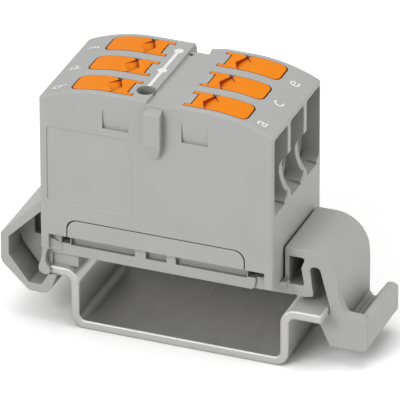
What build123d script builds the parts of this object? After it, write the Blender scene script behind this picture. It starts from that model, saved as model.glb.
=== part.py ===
from build123d import *
import math
import os

# Six-way push-in distribution block, clipped on a short length of 35 mm mounting rail.
# Millimetres. The origin is the middle of the rail's underside: +X runs across the rail towards
# the arm with the screwdriver pocket, +Y along the rail to the back of the block, +Z up.

os.makedirs("parts", exist_ok=True)

# Mounting rail, 35 x 7.5, 1 mm steel
rail_width = 35.0
rail_web_width = 27.0
rail_height = 7.5
rail_thickness = 1.0
rail_bend = 0.8
rail_setback = 0.8
rail_overhang = 0.6

# Block: three rows of connections on each side, one pitch apart
row_pitch = 5.2
row_count = 3
block_width = 28.8
block_offset = -2.55
crown_z = 31.8
crown_flat = 12.0
dome_drop = 1.95
skirt_z = 12.2
corner_round = 0.35
top_edge_round = 0.18
front_wall = 0.7
end_wall = 1.05

# Conductor entries in the two end faces
recess_width = 4.25
recess_top_z = 29.4
recess_bottom_z = 19.5
recess_rise = 0.4
recess_depth = 2.2
recess_round = 0.4
entry_wall = 0.6
conductor_z = 22.9
conductor_bore = 3.5
scoop_top_z = 25.6
scoop_bottom_z = 20.35
scoop_depth = 1.14

# Chambers behind the entries
chamber_width = 3.8
chamber_inner = 3.8
cover_top_z = 16.0
cover_thickness = 1.2

# Levers: distances across the block are measured from its middle plane
lever_width = 3.6
lever_gap = 0.1
lever_end_gap = 0.18
lever_outer = 10.7
lever_inner = 3.95
lever_round = 0.85
lever_under_z = 29.9
prong_tip = 3.2
prong_width = 0.5
catch_width = 2.2
catch_wall = 1.2
catch_reach = 0.5
catch_z = 28.3
pivot_x = 4.7
pivot_z = 29.7
pivot_pin = 1.0
pivot_pin_length = 4.3
pivot_clearance = 0.15
plunger_outer = 9.2
plunger_inner = 8.0
plunger_width = 0.8
plunger_gap = 0.2
dimple_x = 5.82
dimple_outline = ((0.0, 1.6), (-0.85, -0.2), (-0.2, -1.65), (1.1, 0.0))
dimple_depth = 0.4
notch_radius = 0.42
nick_radius = 0.16

# Contact rail and clamping springs
busbar_top_z = 25.7
busbar_thickness = 0.8
busbar_half = 3.5
busbar_gap = 0.1
finger_end = 9.6
finger_width = 1.7
spring_width = 3.2
spring_thickness = 0.35
spring_foot_inner = 4.6
spring_foot_outer = 10.95
spring_tip = 7.4
spring_bend = 1.0

# Key on the front of the housing and the keyway at its back
key_x = -2.55
key_width = 2.05
key_neck_width = 1.65
key_depth = 1.2
key_neck_z = 31.1
key_top_z = 30.8
key_shoulder_z = 26.65
key_foot_width = 1.3
key_foot_depth = 0.5
key_foot_z = 24.9
key_foot_round = 0.4
keyway_clearance = 0.2
keyway_side_gap = 0.1

# Arch round the foot's tongue, label field and ramp pockets on the front
arch_left = -13.68
arch_right = 8.42
arch_top_z = 14.6
arch_round = 1.3
arch_gap = 0.13
label_left = -16.0
label_right = -5.5
label_bottom_z = 16.6
label_top_z = 26.3
label_depth = 0.08
label_round = 0.4
ramp_width = 3.2
ramp_starts = (-9.05, 0.68)
ramp_bottom_z = 27.3
ramp_top_z = 29.95
ramp_depth = 0.35

# Marker groove, test socket and vent in the crown
groove_left = -3.6
groove_flat = 2.0
groove_ramp = 2.2
groove_depth = 0.42
test_socket = 2.26
test_socket_x = -4.65
vent = 0.6
vent_depth = 1.2
vent_x = -3.35
vent_y = 5.6

# Foot, shared values
foot_front = -4.5
foot_back = 5.9
foot_wall = 1.2
foot_gap = 0.1
sharp = 0
small_round = 0.3
middle_round = 0.7
large_round = 1.4

# Foot: tray under the block
tray_setback = 1.0
tray_floor_z = 9.3
tray_floor_top_z = 10.1
window_spans = ((-13.5, -5.55), (-4.2, -1.65), (-0.5, 8.3))
window_bottom_z = 10.65
window_top_z = 11.65
window_depth = 0.6

# Foot: claw and loop hook on the left, measured from the block's end and the flange's edge
claw_wall = 1.05
claw_pad = 4.1
lip_width = 1.9
lip_drop = 0.6
lip_round = 1.5
pad_slit = 0.25
loop_reach = 4.7
loop_band = 1.0
loop_half_depth = 7.2
loop_top_z = 16.05
loop_waist_z = 7.1
loop_drop = 2.65
loop_heel = 1.2
loop_toe = 1.3
loop_grip = 2.28
web_front = -3.8
web_gap = 0.3
web_opening = 1.8
web_opening_z = 9.6

# Foot: arm on the right, measured from the flange's edge and the block's end
arm_gap = 0.13
arm_top_z = 14.3
arm_reach = 1.25
arm_lean = 0.35
arm_bend = 4.2
arm_foot_z = 4.5
arm_root = 1.7
slot_reach = 4.37
hook_height = 1.4
slot_top_z = 12.3
slot_width = 1.25
slot_round = 0.55
leg_inset = 0.75
leg_width = 1.7
leg_heel_z = 8.4
leg_foot_z = 8.05
leg_slope = 2.6
toe_reach = 4.75
toe_top_z = 6.15
toe_bottom_z = 2.3
toe_heel = 0.2
toe_rim = 1.25
toe_round = 0.55
toe_step = 0.65
toe_floor_z = 3.75
eye_wall = 0.62
eye_bottom_z = 9.6
eye_width = 1.9
eye_waist = 1.49
eye_waist_z = 11.9
eye_head = 2.03
eye_top = 1.05
gusset_reach = 0.8
pocket_wall = 0.9
pocket_heel = 0.77
pocket_top_z = 10.8
pocket_waist = 0.85
pocket_waist_z = 6.9
pocket_rim_z = 6.85
pocket_corner_z = 6.1
pocket_bottom_z = 2.9

# Derived from the values above
block_depth = row_pitch * row_count
half_depth = block_depth / 2
half_width = block_width / 2
block_left = block_offset - half_width
block_right = block_offset + half_width
row_ys = [(row - (row_count - 1) / 2) * row_pitch for row in range(row_count)]
end_wall_z = tray_floor_top_z + foot_gap
chamber_outer = half_width - recess_depth - entry_wall
busbar_length = 2 * row_ys[-1] + finger_width
busbar_cavity_z = busbar_top_z + busbar_gap
cavity_half_width = half_width - end_wall
cavity_half_depth = half_depth - front_wall
cover_under_z = cover_top_z - cover_thickness
flange_under_z = rail_height - rail_thickness
left_edge = -rail_width / 2
right_edge = rail_width / 2
sides = (-1, 1)
lever_letters = {-1: ("b", "d", "f"), 1: ("a", "c", "e")}

# Outlines of the foot's hooks, seen along the rail, as (x, z, corner radius)
loop_root_x = block_left - foot_gap
loop_left = left_edge - loop_reach
loop_shoulder_z = loop_top_z - (loop_root_x - loop_left)
loop_low_z = flange_under_z - loop_drop
band_rise = loop_band * math.sqrt(2)
loop_outline = (
    (loop_root_x, loop_top_z, sharp),
    (loop_left, loop_shoulder_z, middle_round),
    (loop_left, loop_waist_z, large_round),
    (left_edge - loop_heel, loop_low_z, middle_round),
    (left_edge + loop_toe, loop_low_z, large_round),
    (left_edge + loop_grip, flange_under_z, sharp),
    (left_edge + loop_toe, flange_under_z, sharp),
    (left_edge + loop_toe - loop_band, loop_low_z + loop_band, small_round),
    (left_edge - loop_heel, loop_low_z + loop_band, small_round),
    (loop_left + loop_band, loop_waist_z + loop_band, small_round),
    (loop_left + loop_band, loop_shoulder_z + loop_band - band_rise, sharp),
    (loop_root_x, loop_top_z - band_rise, sharp),
)
web_right = left_edge - web_opening
web_low_z = loop_low_z + loop_band + web_gap
web_outline = (
    (web_right, loop_top_z - band_rise / 2 - (loop_root_x - web_right), sharp),
    (loop_left + loop_band / 2, loop_shoulder_z, sharp),
    (loop_left + loop_band + web_gap, loop_waist_z + loop_band + web_gap, middle_round),
    (left_edge - loop_heel + web_gap, web_low_z, sharp),
    (left_edge - foot_gap, web_low_z, sharp),
    (left_edge - foot_gap, web_opening_z, sharp),
    (web_right, web_opening_z, small_round),
)
arm_left = block_right + arm_gap
arm_outer = right_edge + arm_reach
toe_outer = right_edge + toe_reach
slot_right = arm_left + slot_reach
leg_right = slot_right - leg_inset
leg_left = leg_right - leg_width
arm_outline = (
    (arm_left, arm_top_z, small_round),
    (arm_outer - arm_lean, arm_top_z, arm_bend),
    (arm_outer, tray_floor_z, sharp),
    (arm_outer, arm_foot_z, sharp),
    (arm_outer + toe_step, toe_floor_z, small_round),
    (toe_outer - toe_rim, toe_top_z, toe_round),
    (toe_outer, toe_top_z, toe_round),
    (toe_outer, toe_bottom_z, middle_round),
    (right_edge + toe_heel, toe_bottom_z, small_round),
    (slot_right, flange_under_z - hook_height, small_round),
    (slot_right, flange_under_z - foot_gap / 2, sharp),
    (right_edge + foot_gap, flange_under_z - foot_gap / 2, sharp),
    (right_edge + foot_gap, rail_height + foot_gap, sharp),
    (slot_right, slot_top_z, slot_round),
    (slot_right - slot_width, slot_top_z, slot_round),
    (leg_right, leg_heel_z, small_round),
    (leg_left, leg_foot_z, middle_round),
    (leg_left - leg_slope, tray_floor_z, sharp),
    (block_right - arm_root, tray_floor_z, sharp),
    (block_right - arm_root, tray_floor_top_z, sharp),
    (arm_left, tray_floor_top_z, sharp),
)
eye_left = arm_left + eye_wall
eye_outline = (
    (eye_left, eye_bottom_z, small_round),
    (eye_left + eye_width, eye_bottom_z, small_round),
    (eye_left + eye_waist, eye_waist_z, middle_round),
    (eye_left + eye_head, arm_top_z - eye_top, small_round),
    (eye_left, arm_top_z - eye_top, sharp),
)
pocket_outline = (
    (arm_outer - pocket_heel, pocket_top_z, sharp),
    (arm_outer + pocket_waist, pocket_waist_z, middle_round),
    (toe_outer - pocket_waist, pocket_rim_z, small_round),
    (toe_outer, pocket_corner_z, small_round),
    (toe_outer, pocket_bottom_z, sharp),
    (arm_outer - pocket_heel, pocket_bottom_z, sharp),
)


def across(side, distance):
    """X of a point at a distance from the block's middle plane, to the left or the right."""
    return block_offset + side * distance


def draw_dome(bottom_z):
    """Outline of the block seen along the rail, with its domed top."""
    flat_left = (block_offset - crown_flat / 2, crown_z)
    flat_right = (block_offset + crown_flat / 2, crown_z)
    shoulder_z = crown_z - dome_drop
    Line(flat_left, flat_right)
    right = TangentArc(flat_right, (block_right, shoulder_z), tangent=(1, 0))
    left = TangentArc(flat_left, (block_left, shoulder_z), tangent=(-1, 0))
    Polyline(right @ 1, (block_right, bottom_z), (block_left, bottom_z), left @ 1)


def box_between(x0, x1, y0, y1, z0, z1, mode=Mode.ADD):
    """Box given by its two opposite corners."""
    with Locations(((x0 + x1) / 2, (y0 + y1) / 2, (z0 + z1) / 2)):
        Box(abs(x1 - x0), abs(y1 - y0), abs(z1 - z0), mode=mode)


def extrude_along_rail(y0, y1, mode=Mode.ADD):
    """Extrude the pending profile, drawn on an XZ plane at y0, back to y1."""
    extrude(amount=-(y1 - y0), mode=mode)


def draw_outline(outline):
    """Closed line through the points of an outline, with sharp corners."""
    Polyline(*[(x, z) for x, z, radius in outline], close=True)


def round_corners(sketch, outline):
    """Round each corner of an outline's face as the outline says."""
    for x, z, radius in outline:
        if radius:
            fillet(sketch.vertices().sort_by_distance((x, z, 0))[0], radius)


def profile_plane(y):
    """XZ plane across the rail at a place along it."""
    return Plane.XZ.offset(-y)


# Mounting rail
with BuildPart() as mounting_rail:
    rail_front = -half_depth + rail_setback
    rail_back = half_depth + rail_overhang
    web_outer = rail_web_width / 2
    web_inner = web_outer - rail_thickness
    with BuildSketch(profile_plane(rail_front)) as rail_section:
        with BuildLine():
            Polyline(
                (0, 0),
                (web_outer, 0),
                (web_outer, flange_under_z),
                (rail_width / 2, flange_under_z),
                (rail_width / 2, rail_height),
                (web_inner, rail_height),
                (web_inner, rail_thickness),
                (0, rail_thickness),
            )
            mirror(about=Plane.YZ)
        make_face()
        for side in sides:
            inner_bends = [(web_inner, rail_thickness), (web_outer, flange_under_z)]
            outer_bends = [(web_outer, 0), (web_inner, rail_height)]
            for bends, radius in ((inner_bends, rail_bend), (outer_bends, rail_bend + rail_thickness)):
                for x, z in bends:
                    corner = rail_section.vertices().sort_by_distance((side * x, z, 0))[0]
                    fillet(corner, radius)
    extrude_along_rail(rail_front, rail_back)
mounting_rail.part.label = "mounting_rail"
export_step(mounting_rail.part, "parts/mounting_rail.step")

# Conductor entries: recesses with a sloping foot, bores, and scoops in the dividers between them
with BuildPart() as entries:
    for side in sides:
        face_x = across(side, half_width)
        floor_x = across(side, half_width - recess_depth)
        for row_y in row_ys:
            with BuildSketch(profile_plane(row_y)):
                with BuildLine():
                    Polyline(
                        (face_x, recess_bottom_z),
                        (face_x, recess_top_z),
                        (floor_x, recess_top_z),
                        (floor_x, recess_bottom_z + recess_rise),
                        close=True,
                    )
                make_face()
            extrude(amount=recess_width / 2, both=True)
    fillet(entries.edges().filter_by(Axis.X).group_by(Axis.Z)[-1], recess_round)
    entry_half = row_ys[-1] + recess_width / 2
    for side in sides:
        face_x = across(side, half_width)
        floor_x = across(side, half_width - recess_depth)
        for row_y in row_ys:
            with Locations(Location((floor_x, row_y, conductor_z), (0, 90, 0))):
                Cylinder(conductor_bore / 2, 2 * entry_wall)
        with BuildSketch(profile_plane(-entry_half)):
            with BuildLine():
                scoop = Spline(
                    (face_x, scoop_top_z),
                    (face_x - side * scoop_depth, conductor_z),
                    (face_x, scoop_bottom_z),
                    tangents=((0, -1), (0, -1)),
                )
                Line(scoop @ 1, scoop @ 0)
            make_face()
        extrude_along_rail(-entry_half, entry_half)

# Housing
with BuildPart() as housing:
    with BuildSketch(Plane.XZ):
        with BuildLine():
            draw_dome(end_wall_z)
        make_face()
    extrude(amount=half_depth, both=True)
    fillet(housing.edges().filter_by(Axis.Z), corner_round)
    shoulder = crown_z - dome_drop - top_edge_round
    rim = housing.edges().filter_by_position(Axis.Z, shoulder, crown_z)
    seams = [
        edge
        for edge in rim.filter_by(Axis.Y)
        if abs(edge.center().X - block_offset) < crown_flat / 2 + top_edge_round
    ]
    fillet([edge for edge in rim if edge not in seams], top_edge_round)

    # Dovetail key on the front that fits the keyway in the back of the next block
    key_levels = (
        (-half_depth + front_wall / 2, key_neck_z, key_neck_width),
        (-half_depth - key_depth, key_top_z, key_width),
    )
    for level_y, top_z, level_width in key_levels:
        with BuildSketch(profile_plane(level_y)):
            with Locations((key_x, (top_z + key_shoulder_z) / 2)):
                Rectangle(level_width, top_z - key_shoulder_z)
    loft()
    with BuildSketch(profile_plane(-half_depth - key_foot_depth)) as key_foot:
        with Locations((key_x, (key_shoulder_z + key_foot_z) / 2)):
            Rectangle(key_foot_width, key_shoulder_z - key_foot_z)
        fillet(key_foot.vertices().group_by(Axis.Y)[0], key_foot_round)
    extrude_along_rail(-half_depth - key_foot_depth, -half_depth)

    # Underside: front and back skirts end above the end walls, and the pocket takes the cover
    box_between(
        across(-1, cavity_half_width), across(1, cavity_half_width),
        -half_depth, half_depth, end_wall_z, skirt_z, Mode.SUBTRACT,
    )
    box_between(
        across(-1, cavity_half_width), across(1, cavity_half_width),
        -cavity_half_depth, cavity_half_depth, skirt_z, cover_top_z, Mode.SUBTRACT,
    )

    # Chambers and the cavity of the contact rail
    for side in sides:
        for row_y in row_ys:
            box_between(
                across(side, chamber_inner), across(side, chamber_outer),
                row_y - chamber_width / 2, row_y + chamber_width / 2,
                cover_top_z, recess_top_z, Mode.SUBTRACT,
            )
    box_between(
        across(-1, chamber_inner), across(1, chamber_inner),
        -busbar_length / 2 - busbar_gap, busbar_length / 2 + busbar_gap,
        cover_top_z, busbar_cavity_z, Mode.SUBTRACT,
    )

    add(entries.part, mode=Mode.SUBTRACT)

    # Lever openings in the roof, prong slots and pivot bearings
    slot_half = lever_width / 2 + lever_gap
    slot_end = lever_outer + lever_end_gap
    for side in sides:
        for row_y in row_ys:
            with BuildSketch(Plane.XY.offset(crown_z)) as slot:
                with Locations((across(side, (slot_end + chamber_inner) / 2), row_y)):
                    Rectangle(slot_end - chamber_inner, 2 * slot_half)
                for edge_side in sides:
                    outer_corner = (across(side, slot_end), row_y + edge_side * slot_half, 0)
                    fillet(slot.vertices().sort_by_distance(outer_corner)[0], lever_round + lever_gap)
            extrude(amount=-(crown_z - recess_top_z), mode=Mode.SUBTRACT)
            for edge_side in sides:
                box_between(
                    across(side, prong_tip - lever_gap), across(side, chamber_inner),
                    row_y + edge_side * (slot_half - prong_width - 2 * lever_gap),
                    row_y + edge_side * slot_half,
                    lever_under_z - lever_gap, crown_z, Mode.SUBTRACT,
                )
            with Locations(Location((across(side, pivot_x), row_y, pivot_z), (90, 0, 0))):
                Cylinder(
                    pivot_pin / 2 + pivot_clearance,
                    pivot_pin_length + 2 * foot_gap,
                    mode=Mode.SUBTRACT,
                )

    # Marker groove, test socket, vent and keyway
    with BuildSketch(Plane.XZ):
        groove_floor_z = crown_z - groove_depth
        with BuildLine():
            Polyline(
                (groove_left, crown_z + groove_depth),
                (groove_left, groove_floor_z),
                (groove_left + groove_flat, groove_floor_z),
                (groove_left + groove_flat + groove_ramp * 2, crown_z + groove_depth),
                close=True,
            )
        make_face()
    extrude(amount=half_depth, both=True, mode=Mode.SUBTRACT)
    with BuildSketch(Plane.XY.offset(crown_z)):
        with Locations((test_socket_x, row_ys[0])):
            Circle(test_socket / 2)
    extrude(amount=-(crown_z - busbar_cavity_z), mode=Mode.SUBTRACT)
    with BuildSketch(Plane.XY.offset(crown_z)):
        with Locations((vent_x, vent_y)):
            Circle(vent / 2)
    extrude(amount=-vent_depth, mode=Mode.SUBTRACT)
    keyway_depth = key_depth + keyway_clearance
    keyway_bottom = key_foot_z - keyway_clearance
    keyway_mouth = key_neck_width + 2 * keyway_side_gap
    keyway_floor = key_width + 2 * keyway_side_gap
    with BuildSketch(Plane.XY.offset(keyway_bottom)):
        with BuildLine():
            Polyline(
                (key_x - keyway_mouth / 2, half_depth),
                (key_x - keyway_floor / 2, half_depth - keyway_depth),
                (key_x + keyway_floor / 2, half_depth - keyway_depth),
                (key_x + keyway_mouth / 2, half_depth),
                close=True,
            )
        make_face()
    extrude(amount=crown_z - keyway_bottom, mode=Mode.SUBTRACT)

    # Front face: label field, ramp pockets and the arch round the foot's tongue
    with BuildSketch(profile_plane(-half_depth)):
        with Locations(((label_left + label_right) / 2, (label_bottom_z + label_top_z) / 2)):
            RectangleRounded(label_right - label_left, label_top_z - label_bottom_z, label_round)
    extrude_along_rail(-half_depth, -half_depth + label_depth, Mode.SUBTRACT)
    for ramp_start in ramp_starts:
        with BuildSketch(Plane.YZ.offset(ramp_start)):
            with BuildLine():
                Polyline(
                    (-half_depth, ramp_top_z),
                    (-half_depth, ramp_bottom_z),
                    (-half_depth + ramp_depth, ramp_bottom_z),
                    close=True,
                )
            make_face()
        extrude(amount=ramp_width, mode=Mode.SUBTRACT)
    for end in sides:
        with BuildSketch(profile_plane(end * half_depth)) as arch:
            with Locations(((arch_left + arch_right) / 2, (skirt_z + arch_top_z) / 2)):
                Rectangle(arch_right - arch_left, arch_top_z - skirt_z)
            fillet(arch.vertices().group_by(Axis.Y)[-1], arch_round)
        extrude(amount=end * front_wall, mode=Mode.SUBTRACT)
housing.part.label = "housing"
export_step(housing.part, "parts/housing.step")

# Cover that closes the chambers from below and carries the springs and the contact rail
with BuildPart() as base_cover:
    cover_half = cavity_half_width - foot_gap
    box_between(
        across(-1, cover_half), across(1, cover_half),
        -cavity_half_depth + foot_gap, cavity_half_depth - foot_gap,
        cover_under_z, cover_top_z,
    )
    box_between(
        block_offset - foot_wall / 2, block_offset + foot_wall / 2,
        -busbar_length / 2, busbar_length / 2,
        cover_top_z, busbar_top_z - busbar_thickness,
    )
base_cover.part.label = "base_cover"
export_step(base_cover.part, "parts/base_cover.step")

# Contact rail: one plate with a finger over each conductor
with BuildPart() as busbar:
    with BuildSketch(Plane.XY.offset(busbar_top_z - busbar_thickness)):
        with Locations((block_offset, 0)):
            Rectangle(2 * busbar_half, busbar_length)
        with Locations(*[(block_offset, row_y) for row_y in row_ys]):
            Rectangle(2 * finger_end, finger_width)
    extrude(amount=busbar_thickness)
busbar.part.label = "busbar"
export_step(busbar.part, "parts/busbar.step")

# Clamping springs: a foot on the cover, a bend, and a leg that presses up on the finger
finger_under_z = busbar_top_z - busbar_thickness
for side in sides:
    for letter, row_y in zip(lever_letters[side], row_ys):
        with BuildPart() as spring:
            with BuildSketch(profile_plane(row_y)):
                with BuildLine():
                    strip = FilletPolyline(
                        (across(side, spring_foot_inner), cover_top_z),
                        (across(side, spring_foot_outer), cover_top_z),
                        (across(side, spring_tip), finger_under_z),
                        radius=spring_bend,
                    )
                    offset(
                        strip,
                        amount=spring_thickness,
                        side=Side.LEFT if side > 0 else Side.RIGHT,
                    )
                make_face()
            extrude(amount=spring_width / 2, both=True)
        spring.part.label = f"spring_{letter}"
        export_step(spring.part, f"parts/spring_{letter}.step")

# Levers: a flush top plate, two prongs, a pivot pin, a catch and two plungers that straddle
# the conductor and end just above the spring
spring_slope = (finger_under_z - cover_top_z) / (spring_foot_outer - spring_tip)
for side in sides:
    for letter, row_y in zip(lever_letters[side], row_ys):
        with BuildPart() as lever:
            with BuildSketch(profile_plane(row_y)):
                with BuildLine():
                    draw_dome(lever_under_z)
                make_face()
            extrude(amount=lever_width / 2, both=True)
            with BuildSketch(Plane.XY.offset(lever_under_z)) as plan:
                plate_centre = across(side, (lever_outer + lever_inner) / 2)
                prong_centre = across(side, (lever_inner + prong_tip) / 2)
                with Locations((plate_centre, row_y)):
                    Rectangle(lever_outer - lever_inner, lever_width)
                for edge_side in sides:
                    outer_corner = (across(side, lever_outer), row_y + edge_side * lever_width / 2, 0)
                    fillet(plan.vertices().sort_by_distance(outer_corner)[0], lever_round)
                    with Locations((prong_centre, row_y + edge_side * (lever_width - prong_width) / 2)):
                        Rectangle(lever_inner - prong_tip, prong_width)
                for edge_side, cut_radius in ((1, notch_radius), (-1, nick_radius)):
                    with Locations((across(side, dimple_x), row_y + edge_side * lever_width / 2)):
                        Circle(cut_radius, mode=Mode.SUBTRACT)
            extrude(amount=crown_z - lever_under_z, mode=Mode.INTERSECT)

            # Dimple that guides the screwdriver, deepest at its edge towards the middle of the block
            low_point = min(dimple_outline)
            high_point = max(dimple_outline)
            dimple_floor = Plane(
                origin=(across(side, dimple_x + high_point[0]), row_y, crown_z),
                x_dir=(side * (high_point[0] - low_point[0]), 0, dimple_depth),
                z_dir=(-side * dimple_depth, 0, high_point[0] - low_point[0]),
            )
            with BuildSketch(dimple_floor):
                with BuildLine():
                    Polyline(
                        *[(x - high_point[0], side * y) for x, y in dimple_outline],
                        close=True,
                    )
                make_face()
            extrude(amount=1, mode=Mode.SUBTRACT)

            # Catch at the outer end, under the roof
            box_between(
                across(side, lever_outer - catch_wall), across(side, lever_outer),
                row_y - catch_width / 2, row_y + catch_width / 2, catch_z, lever_under_z,
            )
            box_between(
                across(side, lever_outer), across(side, lever_outer + catch_reach),
                row_y - catch_width / 2, row_y + catch_width / 2, catch_z, recess_top_z,
            )

            # Pivot lug and pin
            with Locations(Location((across(side, pivot_x), row_y, pivot_z), (90, 0, 0))):
                Cylinder(pivot_pin / 2, pivot_pin_length)
            box_between(
                across(side, pivot_x - pivot_pin / 2), across(side, pivot_x + pivot_pin / 2),
                row_y - lever_width / 2, row_y + lever_width / 2, pivot_z, lever_under_z,
            )

            # Plungers with ends cut to the slope of the spring's leg
            for edge_side in sides:
                plunger_y = row_y + edge_side * (lever_width - plunger_width) / 2
                with BuildSketch(profile_plane(plunger_y)):
                    with BuildLine():
                        inner_z = (
                            finger_under_z
                            - (plunger_inner - spring_tip) * spring_slope
                            + spring_thickness * 2
                            + plunger_gap
                        )
                        outer_z = inner_z - (plunger_outer - plunger_inner) * spring_slope
                        Polyline(
                            (across(side, plunger_inner), inner_z),
                            (across(side, plunger_outer), outer_z),
                            (across(side, plunger_outer), lever_under_z),
                            (across(side, plunger_inner), lever_under_z),
                            close=True,
                        )
                    make_face()
                extrude(amount=plunger_width / 2, both=True)
        lever.part.label = f"lever_{letter}"
        export_step(lever.part, f"parts/lever_{letter}.step")

# Foot: tray under the block, loop hook on the left, arm with screwdriver pocket on the right
with BuildPart() as rail_foot:
    tray_half = cavity_half_width - foot_gap
    tray_front = -half_depth + tray_setback
    tray_back = half_depth - tray_setback
    box_between(
        block_left, across(1, half_width + arm_gap), tray_front, tray_back, tray_floor_z, tray_floor_top_z
    )
    box_between(
        across(-1, tray_half), across(1, tray_half), tray_front, tray_back, tray_floor_top_z, cover_under_z
    )
    box_between(
        across(-1, tray_half - foot_wall), across(1, tray_half - foot_wall),
        tray_front + foot_wall, tray_back - foot_wall, tray_floor_top_z, cover_under_z, Mode.SUBTRACT,
    )

    # Tongues that sit flush in the arches of the housing, front and back
    tongue_left = arch_left + arch_gap
    tongue_right = arch_right - arch_gap
    tongue_top_z = arch_top_z - arch_gap
    for end in sides:
        with BuildSketch(profile_plane(end * half_depth)) as tongue:
            with Locations(((tongue_left + tongue_right) / 2, (skirt_z + tongue_top_z) / 2)):
                Rectangle(tongue_right - tongue_left, tongue_top_z - skirt_z)
            fillet(tongue.vertices().group_by(Axis.Y)[-1], arch_round)
        extrude(amount=end * tray_setback)

    # Windows in the strip below the housing, front and back
    for end in sides:
        for window_left, window_right in window_spans:
            box_between(
                window_left, window_right,
                end * (half_depth - tray_setback), end * (half_depth - tray_setback - window_depth),
                window_bottom_z, window_top_z, Mode.SUBTRACT,
            )

    # Left claw: a side wall that stands on the flange, a lip on its front and a pad behind it
    box_between(
        block_left, block_left + claw_wall, -loop_half_depth, loop_half_depth, rail_height, tray_floor_top_z
    )
    box_between(
        block_left, block_left + claw_pad, tray_front, foot_back, rail_height, tray_floor_z
    )
    box_between(
        block_left + claw_wall, block_left + claw_pad, tray_front, foot_front,
        tray_floor_z - pad_slit, tray_floor_z, Mode.SUBTRACT,
    )
    with BuildSketch(profile_plane(-half_depth)) as lip:
        lip_bottom_z = rail_height - lip_drop
        with Locations((block_left + lip_width / 2, (lip_bottom_z + tray_floor_top_z) / 2)):
            Rectangle(lip_width, tray_floor_top_z - lip_bottom_z)
        fillet(lip.vertices().sort_by_distance((block_left, lip_bottom_z, 0))[0], lip_round)
    extrude_along_rail(-half_depth, rail_front)

    # Loop hook whose free end presses under the flange
    with BuildSketch(profile_plane(-loop_half_depth)) as loop_section:
        with BuildLine():
            draw_outline(loop_outline)
        make_face()
        round_corners(loop_section, loop_outline)
    extrude_along_rail(-loop_half_depth, loop_half_depth)

    # Web across the loop, open beside the block and round the flange, and the wall behind it
    with BuildSketch(profile_plane(web_front)) as web_section:
        with BuildLine():
            draw_outline(web_outline)
        make_face()
        round_corners(web_section, web_outline)
    extrude_along_rail(web_front, web_front + foot_wall)
    box_between(
        block_left - foot_gap - foot_wall, block_left - foot_gap,
        web_front + foot_wall, loop_half_depth, rail_height, loop_top_z - band_rise,
    )
    box_between(
        block_left - foot_gap - foot_wall, block_left,
        web_front, loop_half_depth, rail_height, tray_floor_top_z,
    )
    box_between(
        left_edge - foot_gap, block_left + claw_wall,
        -loop_half_depth, loop_half_depth, flange_under_z, rail_height, Mode.SUBTRACT,
    )

    # Arm with an eye near its root, closed at the front of its screwdriver pocket, and a gusset
    # that joins it to the tray's front corner
    with BuildSketch(profile_plane(foot_front)) as arm_section:
        with BuildLine():
            draw_outline(arm_outline)
        make_face()
        round_corners(arm_section, arm_outline)
    extrude_along_rail(foot_front, foot_back)
    with BuildSketch(profile_plane(foot_front)) as eye_section:
        with BuildLine():
            draw_outline(eye_outline)
        make_face()
        round_corners(eye_section, eye_outline)
    extrude_along_rail(foot_front, foot_back, Mode.SUBTRACT)
    with BuildSketch(profile_plane(foot_front)) as pocket_section:
        with BuildLine():
            draw_outline(pocket_outline)
        make_face()
        round_corners(pocket_section, pocket_outline)
    extrude_along_rail(foot_front, foot_front + pocket_wall)
    with BuildSketch(Plane.XY.offset(tray_floor_top_z)):
        with BuildLine():
            Polyline(
                (block_right - arm_root, tray_front),
                (block_right, tray_front),
                (arm_left + gusset_reach, foot_front),
                (block_right - arm_root, foot_front),
                close=True,
            )
        make_face()
    extrude(amount=-(tray_floor_top_z - tray_floor_z))
rail_foot.part.label = "rail_foot"
export_step(rail_foot.part, "parts/rail_foot.step")
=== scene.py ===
import bmesh
import bpy
import math
from mathutils import Matrix, Vector


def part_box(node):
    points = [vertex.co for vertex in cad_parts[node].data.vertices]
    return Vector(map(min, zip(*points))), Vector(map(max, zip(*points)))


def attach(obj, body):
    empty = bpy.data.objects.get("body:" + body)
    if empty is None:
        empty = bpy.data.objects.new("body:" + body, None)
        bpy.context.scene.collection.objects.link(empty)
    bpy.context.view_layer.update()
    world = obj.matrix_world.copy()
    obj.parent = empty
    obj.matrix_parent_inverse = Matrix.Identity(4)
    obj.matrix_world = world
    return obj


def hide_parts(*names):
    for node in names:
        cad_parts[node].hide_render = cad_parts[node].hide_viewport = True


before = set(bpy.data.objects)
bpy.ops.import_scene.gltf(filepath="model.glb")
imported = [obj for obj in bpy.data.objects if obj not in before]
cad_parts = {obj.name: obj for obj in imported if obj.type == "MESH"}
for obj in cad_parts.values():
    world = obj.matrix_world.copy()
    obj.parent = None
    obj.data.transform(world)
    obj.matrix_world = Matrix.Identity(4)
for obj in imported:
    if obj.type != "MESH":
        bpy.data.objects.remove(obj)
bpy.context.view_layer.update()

MM = 0.001


def box_of(node):
    """Lowest and highest corner of a CAD node at rest, in millimetres to a thousandth."""
    return [[round(value / MM, 3) for value in corner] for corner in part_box(node)]


# Places read from the solids, in millimetres
block_low, block_high = box_of("housing")
rail_low, rail_high = box_of("mounting_rail")
BLOCK_RIGHT = block_high[0]
BLOCK_MIDDLE = round((block_low[0] + BLOCK_RIGHT) / 2, 3)
BLOCK_FRONT = -block_high[1]
CROWN_Z = block_high[2]
RAIL_LEFT = rail_low[0]
RAIL_FRONT = rail_low[1]
RAIL_TOP = rail_high[2]

# Sizes and places that the solids share, in millimetres
ROW_PITCH = 5.2
ROWS = (-ROW_PITCH, 0.0, ROW_PITCH)
DIVIDERS = (-ROW_PITCH / 2, ROW_PITCH / 2)
DIVIDER_HALF = 0.475
RECESS_BACK = 9.65
ENTRY_HALF = 2.125
SILL_Z = 19.9
CROWN_HALF = 6.0
DOME_RADIUS = 19.07
SOCKET_X = -4.65
SOCKET_RADIUS = 1.13
RAIL_WALL = 1.0

# How far an added form reaches into what carries it, and a cutter past a face
BURIED = 0.1
PAST = 0.02


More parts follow.
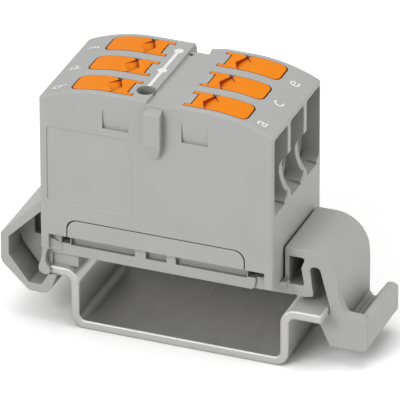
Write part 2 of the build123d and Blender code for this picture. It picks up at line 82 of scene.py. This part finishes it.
# Small helpers for node trees
def add_node(tree, kind, **values):
    """Node of a kind, with its settings and the values of its sockets."""
    node = tree.nodes.new(kind)
    for key, value in values.items():
        if key in node.inputs:
            node.inputs[key].default_value = value
        else:
            setattr(node, key, value)
    return node


def new_tree(name):
    """Material with an empty tree, a Principled shader and an output."""
    material = bpy.data.materials.new(name)
    material.use_nodes = True
    tree = material.node_tree
    tree.nodes.clear()
    output = add_node(tree, "ShaderNodeOutputMaterial")
    shader = add_node(tree, "ShaderNodeBsdfPrincipled")
    tree.links.new(shader.outputs["BSDF"], output.inputs["Surface"])
    return material, tree, shader


def combined(tree, operation, first, second):
    """Two values put together by a Math node."""
    node = add_node(tree, "ShaderNodeMath", operation=operation)
    tree.links.new(first, node.inputs[0])
    tree.links.new(second, node.inputs[1])
    return node.outputs[0]


def parts_of(tree, vector):
    """The X, Y and Z of a vector, by name."""
    split = add_node(tree, "ShaderNodeSeparateXYZ")
    tree.links.new(vector, split.inputs["Vector"])
    return split.outputs


def object_point(tree, stretch=(1, 1, 1)):
    """Object coordinates, stretched along the axes."""
    place = add_node(tree, "ShaderNodeTexCoord")
    mapping = add_node(tree, "ShaderNodeMapping", Scale=stretch)
    tree.links.new(place.outputs["Object"], mapping.inputs["Vector"])
    return mapping.outputs["Vector"]


def noise(tree, scale, detail=2.0, rough=0.5, stretch=(1, 1, 1)):
    """Noise whose features are about one over the scale, in metres."""
    node = add_node(tree, "ShaderNodeTexNoise", Scale=scale, Detail=detail, Roughness=rough)
    tree.links.new(object_point(tree, stretch), node.inputs["Vector"])
    return node.outputs["Fac"]


def ramp(tree, source, low, high, dark, light):
    """Colour ramp between two colours over a part of the source's range."""
    node = add_node(tree, "ShaderNodeValToRGB")
    for element, position, colour in zip(node.color_ramp.elements, (low, high), (dark, light)):
        element.position = position
        element.color = (*colour, 1)
    tree.links.new(source, node.inputs["Fac"])
    return node.outputs["Color"]


def map_range(tree, source, low, high, to_low=0.0, to_high=1.0):
    """Clamped linear map of a value."""
    node = add_node(tree, "ShaderNodeMapRange")
    node.inputs["From Min"].default_value = low
    node.inputs["From Max"].default_value = high
    node.inputs["To Min"].default_value = to_low
    node.inputs["To Max"].default_value = to_high
    tree.links.new(source, node.inputs["Value"])
    return node.outputs["Result"]


def mix_colours(tree, factor, first, second):
    """Blend from one colour socket or value to another by a factor."""
    node = add_node(tree, "ShaderNodeMix", data_type="RGBA")
    tree.links.new(factor, node.inputs[0])
    for colour, socket in ((first, node.inputs[6]), (second, node.inputs[7])):
        if isinstance(colour, tuple):
            socket.default_value = (*colour, 1)
        else:
            tree.links.new(colour, socket)
    return node.outputs[2]


# Surface effects that several materials share, with their sizes in metres
BEVEL_SAMPLES = 6
OPENNESS_SAMPLES = 8
RELIEF_HEIGHT = 0.00002


def bevel_normal(tree, edge_radius):
    """Normal of the surface with its edges softened to a radius."""
    bevel = add_node(tree, "ShaderNodeBevel", samples=BEVEL_SAMPLES, Radius=edge_radius)
    return bevel.outputs["Normal"]


def surface_relief(tree, shader, height, strength, edge_radius):
    """Bump from a height, over softened edges."""
    bump = add_node(tree, "ShaderNodeBump", Strength=strength, Distance=RELIEF_HEIGHT)
    tree.links.new(height, bump.inputs["Height"])
    tree.links.new(bevel_normal(tree, edge_radius), bump.inputs["Normal"])
    tree.links.new(bump.outputs["Normal"], shader.inputs["Normal"])


def openness(tree, reach, closed, opened):
    """Nought inside a gap or a pit and one on an open face, looking as far as the reach."""
    node = add_node(tree, "ShaderNodeAmbientOcclusion", samples=OPENNESS_SAMPLES, Distance=reach)
    return map_range(tree, node.outputs["AO"], closed, opened)


def upper_edge(tree, edge_radius):
    """One on rounded edges that turn upwards, nought on flat faces and on edges that turn down."""
    rounded = bevel_normal(tree, edge_radius)
    flat = add_node(tree, "ShaderNodeNewGeometry")
    turn = add_node(tree, "ShaderNodeVectorMath", operation="SUBTRACT")
    tree.links.new(rounded, turn.inputs[0])
    tree.links.new(flat.outputs["True Normal"], turn.inputs[1])
    size = add_node(tree, "ShaderNodeVectorMath", operation="LENGTH")
    tree.links.new(turn.outputs["Vector"], size.inputs[0])
    on_edge = map_range(tree, size.outputs["Value"], 0.15, 0.5)
    upwards = map_range(tree, parts_of(tree, rounded)["Z"], 0.1, 0.4)
    return combined(tree, "MULTIPLY", on_edge, upwards)


# Moulded plastic
PLASTIC_IOR = 1.49
CLOUD_SCALE = 160
GRAIN_SCALE = 9000


def moulded_plastic(name, dark, light, roughness, grain, edge_radius, painted_shades, gloss=0.5, painted_highlight=None):
    """Moulded plastic: fine spark-eroded grain, a faint cloudy variation and painted shade in pits and
    gaps.

    Each painted shade is its colour, its reach and the openness at which it is closed and open. The
    painted highlight is the lighter colour laid on the edges that turn upwards.
    """
    material, tree, shader = new_tree(name)
    colour = ramp(tree, noise(tree, CLOUD_SCALE, detail=3), 0.3, 0.7, dark, light)
    # Painted shade: the colour darkens where the surface is closed in, in pits, gaps and recesses
    for shade_colour, reach, closed, opened in painted_shades:
        colour = mix_colours(tree, openness(tree, reach, closed, opened), shade_colour, colour)
    # Painted highlight: a lighter colour on the rounded edges that turn upwards
    if painted_highlight is not None:
        colour = mix_colours(tree, upper_edge(tree, edge_radius), colour, painted_highlight)
    tree.links.new(colour, shader.inputs["Base Color"])
    grit = noise(tree, GRAIN_SCALE, detail=3, rough=0.6)
    tree.links.new(map_range(tree, grit, 0.3, 0.7, *roughness), shader.inputs["Roughness"])
    shader.inputs["IOR"].default_value = PLASTIC_IOR
    shader.inputs["Specular IOR Level"].default_value = gloss
    surface_relief(tree, shader, grit, grain, edge_radius)
    return material


# Plated sheet
LINE_SCALE = 3200
LINE_RELIEF = 0.25
LINE_STRETCH = 0.04
BLOTCH_SCALE = 240

# Rail colours: painted shade at the back, painted light on the flanges and sawn ends, and painted
# highlights
RAIL_PAINTED_SHADE = (0.04, 0.039, 0.037)
RAIL_FLANGE_PAINTED_LIGHT = (0.6, 0.598, 0.59)
RAIL_SAWN_AND_LIT = (0.5, 0.498, 0.49)
RAIL_BEND_PAINTED_HIGHLIGHT = (0.95, 0.95, 0.94)
RAIL_EDGE_PAINTED_HIGHLIGHT = (0.8, 0.8, 0.79)


def plated_steel(name, dark, light, roughness, edge_radius, metal=1.0, tint=None):
    """Plated sheet: drawing lines along Y, faint blotches and, where given, painted light and shade by
    place.
    """
    material, tree, shader = new_tree(name)
    lines = noise(tree, LINE_SCALE, detail=4, rough=0.6, stretch=(1, LINE_STRETCH, 1))
    blotch = noise(tree, BLOTCH_SCALE, detail=4)
    pattern = combined(
        tree, "ADD",
        map_range(tree, lines, 0.25, 0.75, 0.0, 0.4),
        map_range(tree, blotch, 0.3, 0.7, 0.0, 0.6),
    )
    colour = ramp(tree, pattern, 0.0, 1.0, dark, light)
    if tint is not None:
        colour = tint(tree, colour, edge_radius)
    tree.links.new(colour, shader.inputs["Base Color"])
    tree.links.new(map_range(tree, lines, 0.3, 0.7, *roughness), shader.inputs["Roughness"])
    shader.inputs["Metallic"].default_value = metal
    surface_relief(tree, shader, lines, LINE_RELIEF, edge_radius)
    return material


def rail_painted_light_and_shade(tree, colour, edge_radius):
    """Painted shade towards the back, painted light on the flanges, sawn ends lighter partly as bare
    metal and partly as painted light, and painted highlights on the bend and the upper edges.

    Places are in metres, and each later tint lies over the ones before it.
    """
    point = parts_of(tree, object_point(tree))
    surface = add_node(tree, "ShaderNodeNewGeometry")
    flat = parts_of(tree, surface.outputs["True Normal"])
    smooth = parts_of(tree, surface.outputs["Normal"])
    # Painted shade: darker towards the back, where the block above shades the channel
    behind = map_range(tree, point["Y"], -0.005, 0.007, 0.0, 0.95)
    # Painted light: lighter higher up, on the flanges, as if lit from above
    raised = map_range(tree, point["Z"], 0.0015, 0.006)
    # Lighter on faces that look forwards: partly the bare metal of a sawn end, partly painted light, as
    # only forward faces get it
    sawn_and_lit = map_range(tree, flat["Y"], -0.8, -0.95)
    # Painted highlight on the bend where a flange turns down into the channel, up high
    bend = combined(
        tree, "MULTIPLY", map_range(tree, smooth["X"], 0.68, 0.8), map_range(tree, smooth["Z"], 0.1, 0.25)
    )
    shoulder = combined(tree, "MULTIPLY", bend, map_range(tree, point["Z"], 0.005, 0.006))
    # Painted highlight on the rounded edges that turn upwards
    edge = upper_edge(tree, edge_radius)
    for factor, tint in (
        (behind, RAIL_PAINTED_SHADE),
        (raised, RAIL_FLANGE_PAINTED_LIGHT),
        (sawn_and_lit, RAIL_SAWN_AND_LIT),
        (shoulder, RAIL_BEND_PAINTED_HIGHLIGHT),
        (edge, RAIL_EDGE_PAINTED_HIGHLIGHT),
    ):
        colour = mix_colours(tree, factor, colour, tint)
    return colour


# The materials and the nodes that get them; painted shade is given as colour, reach, closed and open
# Painted shade on the grey: a broad darkening in recesses, and near black in narrow gaps
GREY_PAINTED_SHADE = (
    ((0.2, 0.202, 0.195), 0.005, 0.05, 0.6),
    ((0.04, 0.04, 0.038), 0.0006, 0.1, 0.42),
)
# Painted shade on the orange: deep red in the levers' dimples and slots
ORANGE_PAINTED_SHADE = (((0.42, 0.045, 0.0), 0.0014, 0.62, 0.96),)
# The grey gets a painted highlight on its upper edges
grey = moulded_plastic(
    "grey_plastic", (0.415, 0.42, 0.405), (0.435, 0.44, 0.424), (0.46, 0.58), grain=0.35,
    edge_radius=0.00014, painted_shades=GREY_PAINTED_SHADE, painted_highlight=(0.56, 0.565, 0.55),
)
orange = moulded_plastic(
    "orange_plastic", (0.9, 0.24, 0.0), (0.94, 0.265, 0.0), (0.42, 0.52), grain=0.2,
    edge_radius=0.0001, painted_shades=ORANGE_PAINTED_SHADE, gloss=0.12,
)
zinc = plated_steel(
    "rail_steel", (0.25, 0.248, 0.24), (0.31, 0.308, 0.3), (0.42, 0.58), edge_radius=0.0004,
    metal=0.5, tint=rail_painted_light_and_shade,
)
tin = plated_steel(
    "tinned_copper", (0.6, 0.58, 0.54), (0.74, 0.72, 0.67), (0.25, 0.4), edge_radius=0.0001
)
spring_steel = plated_steel(
    "spring_steel", (0.5, 0.5, 0.5), (0.62, 0.62, 0.62), (0.2, 0.35), edge_radius=0.00005
)

node_materials = {
    "housing": grey, "base_cover": grey, "rail_foot": grey, "mounting_rail": zinc, "busbar": tin,
}
for letter in "abcdef":
    node_materials["lever_" + letter] = orange
    node_materials["spring_" + letter] = spring_steel
for node_name, material in node_materials.items():
    for material_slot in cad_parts[node_name].material_slots:
        material_slot.material = material


# Mesh helpers for forms that the solids leave plain, in millimetres
def link(thing):
    """Put an object in the scene, where modifiers can use it."""
    if thing.name not in bpy.context.collection.objects:
        bpy.context.collection.objects.link(thing)


def tool_object(work):
    """Object with a mesh that only shapes another piece, its faces turned outwards."""
    bmesh.ops.recalc_face_normals(work, faces=work.faces)
    mesh = bpy.data.meshes.new("tool")
    work.to_mesh(mesh)
    work.free()
    return bpy.data.objects.new("tool", mesh)


def hull(points):
    """Convex solid round points."""
    work = bmesh.new()
    for point in points:
        work.verts.new(Vector(point) * MM)
    bmesh.ops.convex_hull(work, input=work.verts)
    return tool_object(work)


def block(xs, ys, zs):
    """Box between two corners."""
    return hull([(x, y, z) for x in xs for y in ys for z in zs])


def swept(outline, along, low, high):
    """Prism: an outline of (X, Z) pairs along Y, or of (Y, Z) pairs along X."""
    work = bmesh.new()
    rings = []
    for reach in (low, high):
        places = [(u, reach, v) if along == "Y" else (reach, u, v) for u, v in outline]
        rings.append([work.verts.new(Vector(place) * MM) for place in places])
    near, far = rings
    work.faces.new(near)
    work.faces.new(far[::-1])
    for i in range(len(outline)):
        j = (i + 1) % len(outline)
        work.faces.new((near[j], near[i], far[i], far[j]))
    return tool_object(work)


def combine(piece, tool, operation):
    """Join a tool to a piece or cut the piece with it."""
    link(piece)
    link(tool)
    change = piece.modifiers.new("change", "BOOLEAN")
    change.operation = operation
    change.solver = "EXACT"
    change.object = tool
    bpy.context.view_layer.update()
    shaped = piece.evaluated_get(bpy.context.evaluated_depsgraph_get())
    mesh = bpy.data.meshes.new_from_object(shaped)
    piece.modifiers.remove(change)
    piece.data = mesh
    bpy.data.objects.remove(tool)


def join(piece, tool):
    """Add a form to a piece."""
    combine(piece, tool, "UNION")


def cut(piece, tool):
    """Take a form away from a piece."""
    combine(piece, tool, "DIFFERENCE")


MERGE_DISTANCE = 0.0000005
CREASE_ANGLE = math.radians(28)


def merged_copy(node, name):
    """Copy of a CAD node with its split vertices merged, ready to be cut and joined."""
    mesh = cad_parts[node].data.copy()
    work = bmesh.new()
    work.from_mesh(mesh)
    bmesh.ops.remove_doubles(work, verts=work.verts, dist=MERGE_DISTANCE)
    work.to_mesh(mesh)
    work.free()
    if "custom_normal" in mesh.attributes:
        mesh.attributes.remove(mesh.attributes["custom_normal"])
    return bpy.data.objects.new(name, mesh)


def finish_form(piece, node, material):
    """Smooth shading with sharp creases, its material, a place on the base body, and the CAD node that
    the piece stands for hidden.
    """
    for polygon in piece.data.polygons:
        polygon.use_smooth = True
        polygon.material_index = 0
    piece.data.set_sharp_from_angle(angle=CREASE_ANGLE)
    piece.data.materials.clear()
    piece.data.materials.append(material)
    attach(piece, "base")
    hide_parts(node)


# Housing: outline of the dividers' scoops, as how far out from the end wall and how high
SCOOP = (
    (0.0, 25.65), (-0.12, 25.42), (-0.3, 25.16), (-0.62, 24.76), (-0.88, 24.34), (-1.03, 23.9),
    (-1.08, 23.45), (-1.05, 22.95), (-0.95, 22.4), (-0.75, 21.75), (-0.5, 21.2), (-0.22, 20.78),
    (0.0, 20.5),
)
SCOOP_FRONT = ((0.5, 20.0), (0.5, 26.0))

# Housing: lowest and highest place where a divider is filled before its scoop is cut
FILLER_HEIGHTS = (19.7, 26.2)

# Housing: radii of the entries' lower corners, 1 for the end towards the back and -1 for the front
CORNER_RADII = ((1, 0.95), (-1, 0.3))
CORNER_STEPS = 6
CORNER_DEPTH = 0.5

# Housing: the key's tapered lower end as half widths, places along Y and heights
KEY_END = (
    (1.02, -8.99, 26.66), (0.9, -7.7, 26.66), (0.87, -8.36, 26.0), (0.67, -8.32, 25.3),
    (0.67, -7.7, 25.3), (0.4, -8.31, 24.88), (0.4, -7.7, 24.88),
)

# Housing: box of the post at the right end of the skirt
SKIRT_POST = ((10.95, BLOCK_RIGHT), (BLOCK_FRONT + PAST, -6.6), (10.85, 12.5))


def across(x, side):
    """Place on the right half of the block, or its mirror image on the left half."""
    return BLOCK_MIDDLE + side * (x - BLOCK_MIDDLE)


def scoop_divider(piece, divider, side):
    """Round scoop in the wall between two entries."""
    filler_xs = (across(RECESS_BACK + BURIED, side), across(BLOCK_RIGHT, side))
    join(piece, block(filler_xs, (divider - DIVIDER_HALF, divider + DIVIDER_HALF), FILLER_HEIGHTS))
    outline = [(across(BLOCK_RIGHT + x, side), z) for x, z in SCOOP + SCOOP_FRONT]
    reach = DIVIDER_HALF + PAST
    cut(piece, swept(outline, "Y", divider - reach, divider + reach))


def round_corner(piece, row, side, end, radius):
    """Rounded lower corner of one entry, at its back or front end along Y."""
    wall = row + end * ENTRY_HALF
    behind_wall = wall + end * BURIED
    outline = [(behind_wall, SILL_Z + radius)]
    for step in range(CORNER_STEPS + 1):
        angle = math.pi / 2 * step / CORNER_STEPS
        inset = radius * (1 - math.cos(angle))
        outline.append((wall - end * inset, SILL_Z + radius * (1 - math.sin(angle))))
    outline.append((outline[-1][0], SILL_Z - CORNER_DEPTH))
    outline.append((behind_wall, SILL_Z - CORNER_DEPTH))
    low, high = sorted((across(RECESS_BACK + BURIED, side), across(BLOCK_RIGHT - PAST, side)))
    join(piece, swept(outline, "X", low, high))


def shape_housing():
    """Housing with its scoops, rounded entry corners, tapered key and skirt post."""
    piece = merged_copy("housing", "housing_shell")
    for side in (1, -1):
        for divider in DIVIDERS:
            scoop_divider(piece, divider, side)
        for row in ROWS:
            for end, radius in CORNER_RADII:
                round_corner(piece, row, side, end, radius)
    join(piece, hull([
        (BLOCK_MIDDLE + turn * half, y, z) for half, y, z in KEY_END for turn in (-1, 1)
    ]))
    join(piece, block(*SKIRT_POST))
    finish_form(piece, "housing", grey)


# Foot: the curled lip on the left claw as an outline of (X, Z) pairs, and the cut that slants it
LIP = (
    (-14.6, 9.7), (-14.6, 10.65), (-15.35, 11.15), (-15.95, 11.45), (-16.4, 11.25), (-16.72, 10.7),
    (-16.88, 9.8), (-16.98, 8.8), (-17.15, 8.1), (-17.38, 7.5), (-17.35, 7.0), (-17.0, 6.62),
    (-16.5, 6.5), (-16.1, 6.62), (-15.9, 7.0), (-16.0, 7.5), (-16.3, 7.8), (-16.5, 8.35),
    (-16.47, 9.2), (-16.22, 9.85), (-15.9, 9.95),
)
LIP_FRONT = -7.45
LIP_BACK = -6.7
LIP_SLANT = ((-16.3, -7.46), (-14.5, -6.81), (-14.5, -7.6), (-16.3, -7.6))
LIP_SLANT_HEIGHTS = (9.5, 11.6)

# Foot: boxes that are cut away before the lip is added, and after it
BEFORE_LIP = {
    "the flat lip": ((-17.05, -15.04), (-7.9, -7.0), (6.7, 10.12)),
    "room behind the lip": ((-16.96, -15.88), (-7.3, -6.6), (7.51, 10.12)),
    "the step of the pad": ((-15.95, -12.8), (-6.9, -6.2), (7.4, 9.2)),
}
AFTER_LIP = {
    "the rail's front": (
        (RAIL_LEFT - BURIED, -15.85), (RAIL_FRONT - PAST, -6.6),
        (RAIL_TOP - RAIL_WALL - PAST, RAIL_TOP + PAST),
    ),
    "the slit beside the arm": ((11.9, 12.1), (-4.6, 6.0), (10.25, 14.6)),
    "the opening left of the windows": ((-14.7, -13.6), (-6.95, -5.1), (10.75, 11.9)),
    "the opening right of the windows": ((8.4, 10.85), (-6.95, -5.1), (10.8, 11.6)),
}

# Foot: what is cut off the strip's right end, as (X, Z) pairs
STRIP_END = (
    (8.5, 9.2), (8.95, 9.33), (9.22, 9.62), (9.32, 10.1), (9.4, 11.0), (12.1, 11.0), (12.1, 9.0),
    (8.5, 9.0),
)
STRIP_DEPTH = (-7.0, -6.45)

# Foot: what is cut off the tray's corner, as (X, Y) pairs
TRAY_CORNER = ((9.6, -7.0), (9.75, -6.45), (10.8, -5.9), (14.2, -4.53), (14.2, -7.0))
TRAY_CORNER_HEIGHTS = (9.0, 11.0)

# Foot: the web from strip to arm, as X, Y and its lowest and highest Z
WEB = (
    (9.7, -6.46, 9.3, 10.1), (10.8, -5.9, 9.3, 10.1), (13.3, -4.5, 8.25, 9.4),
    (12.05, -4.4, 8.3, 10.1), (9.7, -5.5, 9.3, 10.1),
)


def upright(outline, heights):
    """Convex prism along Z over an outline of (X, Y) pairs."""
    return hull([(x, y, z) for z in heights for x, y in outline])


def shape_foot():
    """Foot with its curled lip, stepped pad, openings, rounded strip end and web."""
    piece = merged_copy("rail_foot", "foot_moulding")
    for box in BEFORE_LIP.values():
        cut(piece, block(*box))
    lip = swept(LIP, "Y", LIP_FRONT, LIP_BACK)
    cut(lip, upright(LIP_SLANT, LIP_SLANT_HEIGHTS))
    join(piece, lip)
    for box in AFTER_LIP.values():
        cut(piece, block(*box))
    cut(piece, swept(STRIP_END, "Y", *STRIP_DEPTH))
    cut(piece, upright(TRAY_CORNER, TRAY_CORNER_HEIGHTS))
    join(piece, hull([(x, y, z) for x, y, low, high in WEB for z in (low, high)]))
    finish_form(piece, "rail_foot", grey)


shape_housing()
shape_foot()

# White print
INK_RISE = 0.004
LETTER_RISE = 0.02
LETTER_SPREAD = 0.004
LETTER_STEPS = 6
DISC_STEPS = 32

LEFT_LETTERS_X = -15.05
RIGHT_LETTERS_X = 9.92
LEFT_LETTERS_SHIFT = -0.8
RIGHT_LETTERS_SHIFT = -0.9
LETTER_HEIGHTS = {"a": 1.15, "b": 1.6, "c": 1.15, "d": 1.5, "e": 1.15, "f": 1.6}

LINE_X = SOCKET_X - 0.07
LINE_HALF = 0.2
LINE_OVERLAP = 0.1
DOT_RADIUS = 0.55
DOT_REACH = DOT_RADIUS * 0.95

ink, ink_tree, ink_shader = new_tree("white_ink")
ink_cloud = noise(ink_tree, 5000, detail=3)
ink_tree.links.new(
    ramp(ink_tree, ink_cloud, 0.3, 0.7, (0.84, 0.84, 0.82), (0.9, 0.9, 0.88)),
    ink_shader.inputs["Base Color"],
)
ink_tree.links.new(map_range(ink_tree, ink_cloud, 0.3, 0.7, 0.4, 0.55), ink_shader.inputs["Roughness"])


def dome_z(x):
    """Height of the block's top at a place across it."""
    run = max(0.0, abs(x - BLOCK_MIDDLE) - CROWN_HALF)
    return CROWN_Z - DOME_RADIUS + math.sqrt(DOME_RADIUS ** 2 - run ** 2)


def print_piece(name, vertices, faces):
    """Flat print that is laid on the block."""
    mesh = bpy.data.meshes.new(name)
    mesh.from_pydata([Vector(vertex) * MM for vertex in vertices], [], faces)
    mesh.materials.append(ink)
    piece = bpy.data.objects.new(name, mesh)
    link(piece)
    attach(piece, "base")


def print_letter(letter, x, y, side):
    """One position letter that reads from the block's end, laid on its domed top."""
    curve = bpy.data.curves.new("text_" + letter, "FONT")
    curve.body = letter
    curve.align_x = "CENTER"
    curve.size = 1.0
    curve.offset = LETTER_SPREAD
    curve.resolution_u = LETTER_STEPS
    text = bpy.data.objects.new("text_" + letter, curve)
    link(text)
    bpy.context.view_layer.update()
    flat = bpy.data.meshes.new_from_object(text)
    lows = [min(vertex.co[i] for vertex in flat.vertices) for i in range(2)]
    highs = [max(vertex.co[i] for vertex in flat.vertices) for i in range(2)]
    scale = LETTER_HEIGHTS[letter] / (highs[1] - lows[1])
    middle = [(low + high) / 2 for low, high in zip(lows, highs)]
    vertices = []
    for vertex in flat.vertices:
        sideways = (vertex.co[0] - middle[0]) * scale
        upwards = (vertex.co[1] - middle[1]) * scale
        vertex_x = x - side * upwards
        vertices.append((vertex_x, y + side * sideways, dome_z(vertex_x) + LETTER_RISE))
    faces = [tuple(polygon.vertices) for polygon in flat.polygons]
    bpy.data.objects.remove(text)
    print_piece("print_" + letter, vertices, faces)


def print_dot(name, x, y):
    """Round dot of the line on the flat crown."""
    ring = []
    for step in range(DISC_STEPS):
        angle = 2 * math.pi * step / DISC_STEPS
        ring.append((
            x + DOT_RADIUS * math.cos(angle), y + DOT_RADIUS * math.sin(angle), CROWN_Z + INK_RISE
        ))
    print_piece(name, ring, [tuple(range(DISC_STEPS))])


def print_line(name, x, start, end):
    """Straight stretch of the line on the flat crown."""
    corners = ((x - LINE_HALF, start), (x + LINE_HALF, start), (x + LINE_HALF, end), (x - LINE_HALF, end))
    print_piece(name, [(*corner, CROWN_Z + INK_RISE) for corner in corners], [(0, 1, 2, 3)])


for letter, row in zip("bdf", ROWS):
    print_letter(letter, LEFT_LETTERS_X, row + LEFT_LETTERS_SHIFT, -1)
for letter, row in zip("ace", ROWS):
    print_letter(letter, RIGHT_LETTERS_X, row + RIGHT_LETTERS_SHIFT, 1)
for index, dot_y in enumerate(ROWS[1:]):
    print_dot("print_dot_%d" % index, LINE_X, dot_y)
line_starts = (ROWS[0] + SOCKET_RADIUS - LINE_OVERLAP, ROWS[1] + DOT_REACH)
for index, start in enumerate(line_starts):
    print_line("print_line_%d" % index, LINE_X, start, ROWS[index + 1] - DOT_REACH)


# Studio: a pale floor with the object's shadow, partly real and partly painted, soft light all round and
# three lamps
LAMP_TARGET = (-2.5, 0, 16)
FLOOR_HALF = 4.0
FLOOR_DROP = 0.00003
FLOOR_COLOUR = (0.8, 0.8, 0.8)
FLOOR_SEEN_COLOUR = (1.38, 1.38, 1.38)
SHADOW_REACH = 0.006
WHITE = (1, 1, 1, 1)
WORLD_LIGHT = 0.38


def seen_or_lit(tree, lit, seen, output):
    """The seen shader for the camera, in reflections and through glass, and the lit one for light."""
    path = add_node(tree, "ShaderNodeLightPath")
    outright = combined(tree, "MAXIMUM", path.outputs["Is Camera Ray"], path.outputs["Is Glossy Ray"])
    switch = add_node(tree, "ShaderNodeMixShader")
    tree.links.new(
        combined(tree, "MAXIMUM", outright, path.outputs["Is Transmission Ray"]), switch.inputs[0]
    )
    tree.links.new(lit.outputs[0], switch.inputs[1])
    tree.links.new(seen.outputs[0], switch.inputs[2])
    tree.links.new(switch.outputs[0], output.inputs["Surface"])


def pale_floor():
    """Wide floor just under the object, brighter to the camera away from the object and darker near it as
    a painted shadow.
    """
    mesh = bpy.data.meshes.new("floor")
    far = FLOOR_HALF
    mesh.from_pydata([(-far, -far, 0), (far, -far, 0), (far, far, 0), (-far, far, 0)], [], [(0, 1, 2, 3)])
    floor = bpy.data.objects.new("floor", mesh)
    floor.location = (0, 0, -FLOOR_DROP)
    link(floor)
    material = bpy.data.materials.new("pale_floor")
    material.use_nodes = True
    tree = material.node_tree
    tree.nodes.clear()
    output = add_node(tree, "ShaderNodeOutputMaterial")
    lit = add_node(tree, "ShaderNodeBsdfDiffuse", Color=(*FLOOR_COLOUR, 1))
    seen = add_node(tree, "ShaderNodeBsdfDiffuse")
    # Painted shadow: the seen colour darkens near the object, over the real shadow of the lit floor
    clear_of_object = openness(tree, SHADOW_REACH, 0.3, 0.85)
    tree.links.new(
        mix_colours(tree, clear_of_object, FLOOR_COLOUR, FLOOR_SEEN_COLOUR), seen.inputs["Color"]
    )
    seen_or_lit(tree, lit, seen, output)
    mesh.materials.append(material)


def studio_world():
    """Soft light all round, white to the camera and in reflections."""
    world = bpy.data.worlds.new("studio")
    bpy.context.scene.world = world
    world.use_nodes = True
    tree = world.node_tree
    tree.nodes.clear()
    output = add_node(tree, "ShaderNodeOutputWorld")
    lit = add_node(tree, "ShaderNodeBackground", Color=WHITE, Strength=WORLD_LIGHT)
    seen = add_node(tree, "ShaderNodeBackground", Color=WHITE, Strength=1.0)
    seen_or_lit(tree, lit, seen, output)


def soft_lamp(name, place, size, power):
    """Square area lamp that looks at the middle of the object: place in millimetres, size in metres."""
    light = bpy.data.lights.new(name, "AREA")
    light.shape = "SQUARE"
    light.size = size
    light.energy = power
    lamp = bpy.data.objects.new(name, light)
    target = Vector(LAMP_TARGET) * MM
    lamp.location = Vector(place) * MM
    lamp.rotation_euler = (target - lamp.location).to_track_quat("-Z", "Y").to_euler()
    link(lamp)


pale_floor()
studio_world()
soft_lamp("key", (-180, -480, 330), 0.3, 1.75)
soft_lamp("side", (480, 60, 260), 0.3, 0.68)
soft_lamp("top", (0, 60, 520), 0.4, 0.8)

# Camera at the photograph's angle, with its place in millimetres
AZIMUTH = math.radians(21.38)
ELEVATION = math.radians(28.57)
ROLL = math.radians(-0.18)
FOCAL_PIXELS = 7466.0
IMAGE_PIXELS = 400.0
SENSOR_WIDTH = 36.0
NEAREST_SEEN = 0.05
FURTHEST_SEEN = 20.0
CAMERA_PLACE = (276.43, -706.41, 428.84)


def photo_camera():
    """Camera that looks along the fitted direction, turned by the roll."""
    forward = Vector((
        -math.sin(AZIMUTH) * math.cos(ELEVATION),
        math.cos(AZIMUTH) * math.cos(ELEVATION),
        -math.sin(ELEVATION),
    ))
    level = Vector((math.cos(AZIMUTH), math.sin(AZIMUTH), 0))
    vertical = level.cross(forward)
    right = math.cos(ROLL) * level + math.sin(ROLL) * vertical
    up = math.cos(ROLL) * vertical - math.sin(ROLL) * level
    data = bpy.data.cameras.new("camera")
    data.sensor_width = SENSOR_WIDTH
    data.lens = FOCAL_PIXELS / IMAGE_PIXELS * SENSOR_WIDTH
    data.clip_start = NEAREST_SEEN
    data.clip_end = FURTHEST_SEEN
    camera = bpy.data.objects.new("camera", data)
    turn = Matrix((right, up, -forward)).transposed().to_4x4()
    camera.matrix_world = Matrix.Translation(Vector(CAMERA_PLACE) * MM) @ turn
    link(camera)
    return camera


bpy.context.scene.camera = photo_camera()
bpy.context.scene.view_settings.view_transform = "Standard"

# Bring the scene up to date
bpy.context.view_layer.update()
